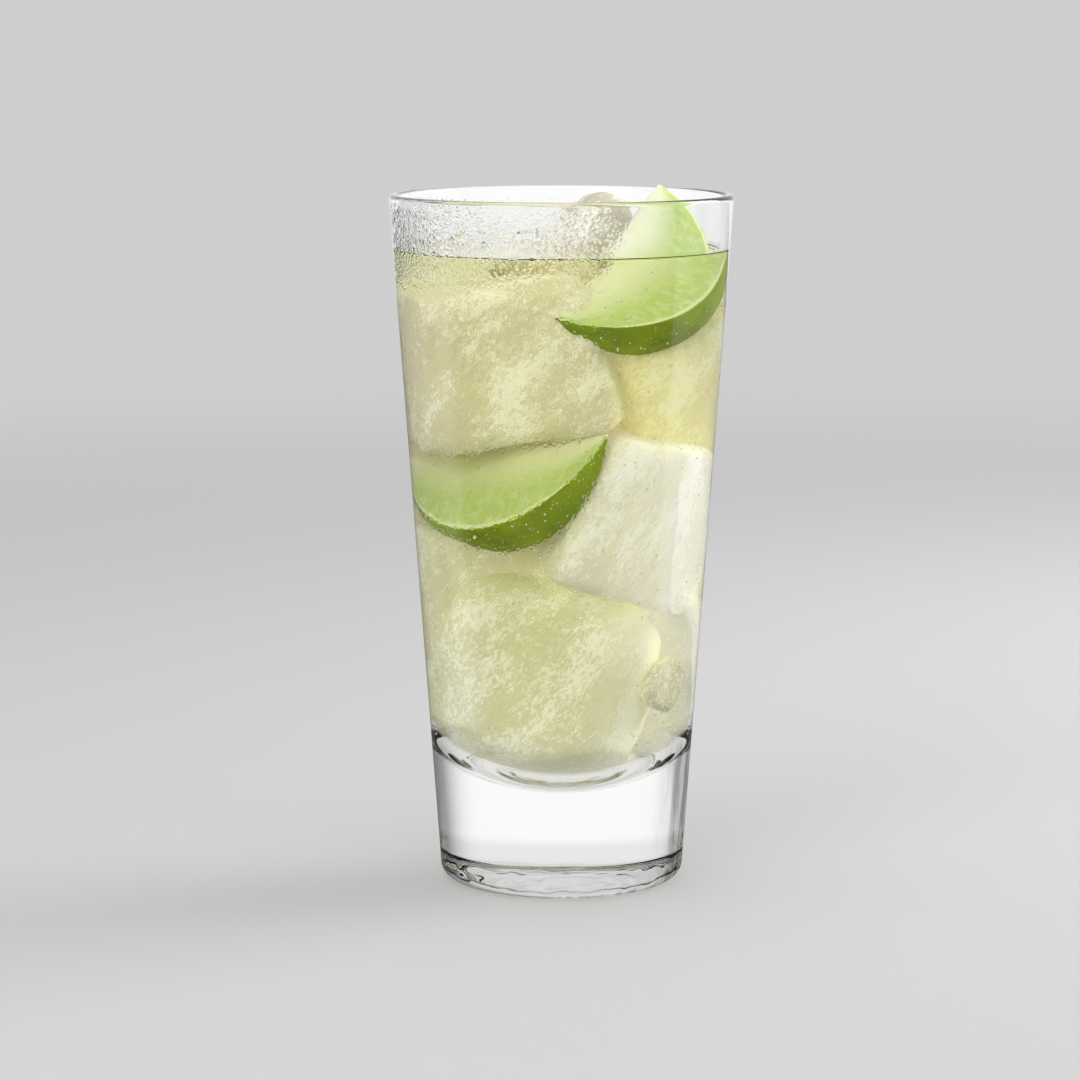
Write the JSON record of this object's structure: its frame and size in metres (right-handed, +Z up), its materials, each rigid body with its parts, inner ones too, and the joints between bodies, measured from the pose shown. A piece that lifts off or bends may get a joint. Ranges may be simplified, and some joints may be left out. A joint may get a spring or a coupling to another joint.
{
  "type": "iced vodka highball with lime",
  "caption": "Tall tapered glass with a heavy clear base, filled with a pale iced drink; a lime wedge leans out of it at the rim and another is sunk among the ice.",
  "frame": {"origin": "centre of the foot, on the surface that the glass stands on", "axes": "+Z up along the glass's axis, +X to the side where the upper lime wedge leans, -Y to the front"},
  "size_m": [0.0748, 0.0748, 0.1524],
  "materials": {
    "glass": "clear, polished",
    "drink": "clear pale yellow-green liquid, full of fine bubbles",
    "lime": "waxy rind, wet pale green flesh",
    "ice": "cloudy, wet"
  },
  "bodies": {
    "root": {"glass": "glass", "drink": "drink", "lime_wedge_top": "lime", "lime_wedge_sunk": "lime", "ice_cube_top": "ice"}
  },
  "joints": []
}
